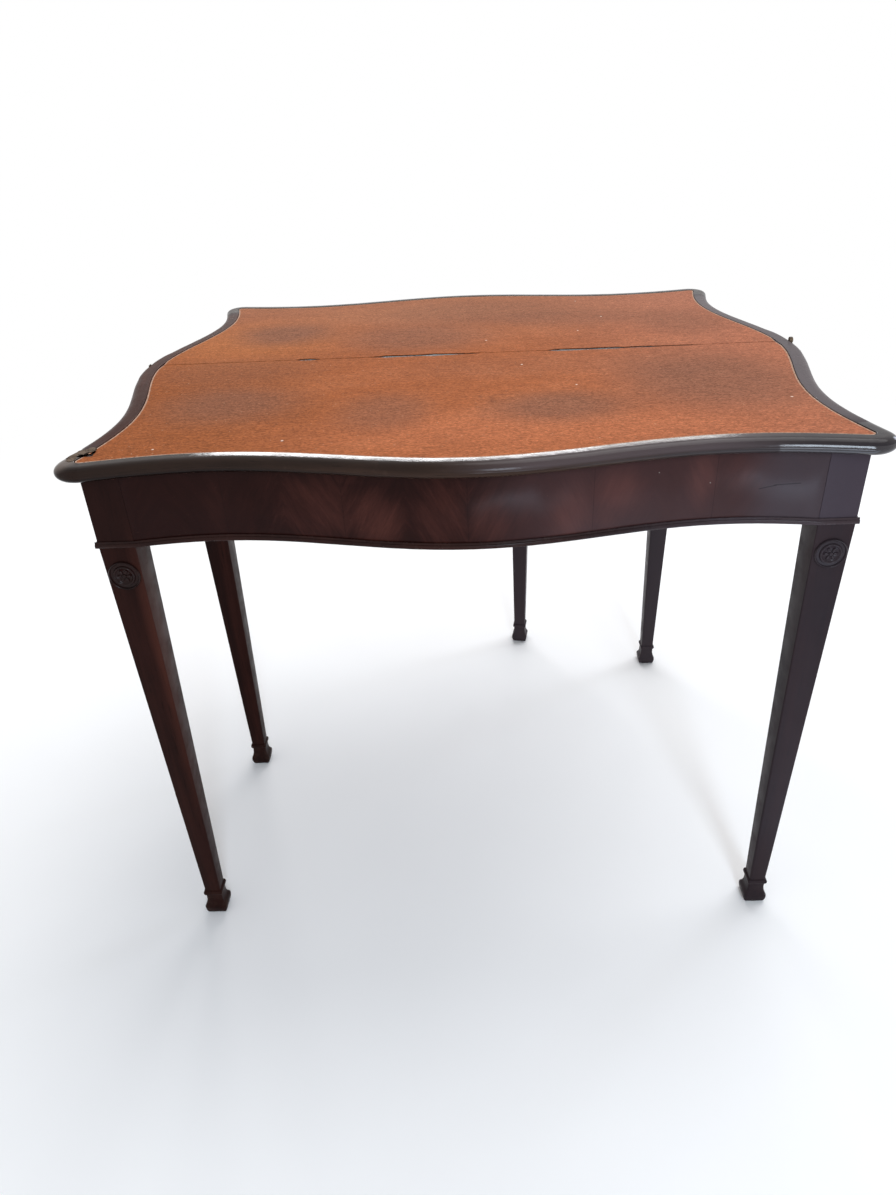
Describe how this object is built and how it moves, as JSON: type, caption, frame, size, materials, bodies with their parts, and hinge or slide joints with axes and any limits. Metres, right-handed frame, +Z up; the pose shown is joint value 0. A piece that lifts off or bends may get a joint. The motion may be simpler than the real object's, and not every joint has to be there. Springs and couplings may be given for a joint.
{
  "type": "fold-over card table",
  "caption": "Serpentine fold-over card table, open, with baize-lined leaves, hollowed aprons, tapered spade-foot legs and swinging gate legs.",
  "frame": {"origin": "on the floor under the middle of the open top, at the seam between the leaves", "axes": "+X along the seam to the right as seen from the front, +Y towards the folding leaf, +Z up"},
  "size_m": [0.9668, 0.912, 0.7422],
  "materials": {
    "leaf_board": "satin",
    "leaf_edge": "gloss polish",
    "baize": "matte, worn",
    "apron": "gloss polish",
    "bead": "gloss polish",
    "leg": "gloss polish",
    "rosette": "gloss polish",
    "inner_wood": "matte",
    "brass": "aged",
    "iron": "dull"
  },
  "bodies": {
    "frame": {"back_rail": "inner_wood", "centre_gate_pin": "iron", "centre_knuckle_block": "inner_wood", "front_apron": "apron", "front_baize": "baize", "front_bead": "bead", "front_leaf_board": "leaf_board", "front_left_corner_block": "inner_wood", "front_left_leg": "leg", "front_left_top_screw": "iron", "front_lipping": "leaf_edge", "front_right_corner_block": "inner_wood", "front_right_leg": "leg", "front_right_top_screw": "iron", "left_apron": "apron", "left_bead": "bead", "left_hinge_front_plate": "brass", "left_hinge_front_plate_screw_1": "brass", "left_hinge_front_plate_screw_2": "brass", "left_hinge_pin": "brass", "left_rosette": "rosette", "rear_left_corner_block": "inner_wood", "rear_left_leg": "leg", "rear_left_top_screw": "iron", "rear_right_corner_block": "inner_wood", "rear_right_top_screw": "iron", "right_apron": "apron", "right_bead": "bead", "right_gate_pin": "iron", "right_hinge_front_plate": "brass", "right_hinge_front_plate_screw_1": "brass", "right_hinge_front_plate_screw_2": "brass", "right_hinge_pin": "brass", "right_knuckle_block": "inner_wood", "right_rosette": "rosette"},
    "rear_leaf": {"left_hinge_rear_plate": "brass", "left_hinge_rear_plate_screw_1": "brass", "left_hinge_rear_plate_screw_2": "brass", "rear_baize": "baize", "rear_leaf_board": "leaf_board", "rear_lipping": "leaf_edge", "right_hinge_rear_plate": "brass", "right_hinge_rear_plate_screw_1": "brass", "right_hinge_rear_plate_screw_2": "brass"},
    "right_gate": {"right_gate_rail": "inner_wood", "right_gate_leg": "leg"},
    "centre_gate": {"centre_gate_rail": "inner_wood", "centre_gate_leg": "leg"}
  },
  "joints": [
    {"name": "leaf_fold", "type": "hinge", "parent": "frame", "child": "rear_leaf", "pos_m": [0, 0, 0.7374], "axis": [1, 0, 0], "range_deg": [0, 180]},
    {"name": "right_gate_swing", "type": "hinge", "parent": "frame", "child": "right_gate", "pos_m": [0.3808, -0.0367, 0.6757], "axis": [0, 0, 1], "range_deg": [0, 90]},
    {"name": "centre_gate_swing", "type": "hinge", "parent": "frame", "child": "centre_gate", "pos_m": [0.045, -0.0367, 0.6757], "axis": [0, 0, 1], "range_deg": [0, 100.5]}
  ]
}
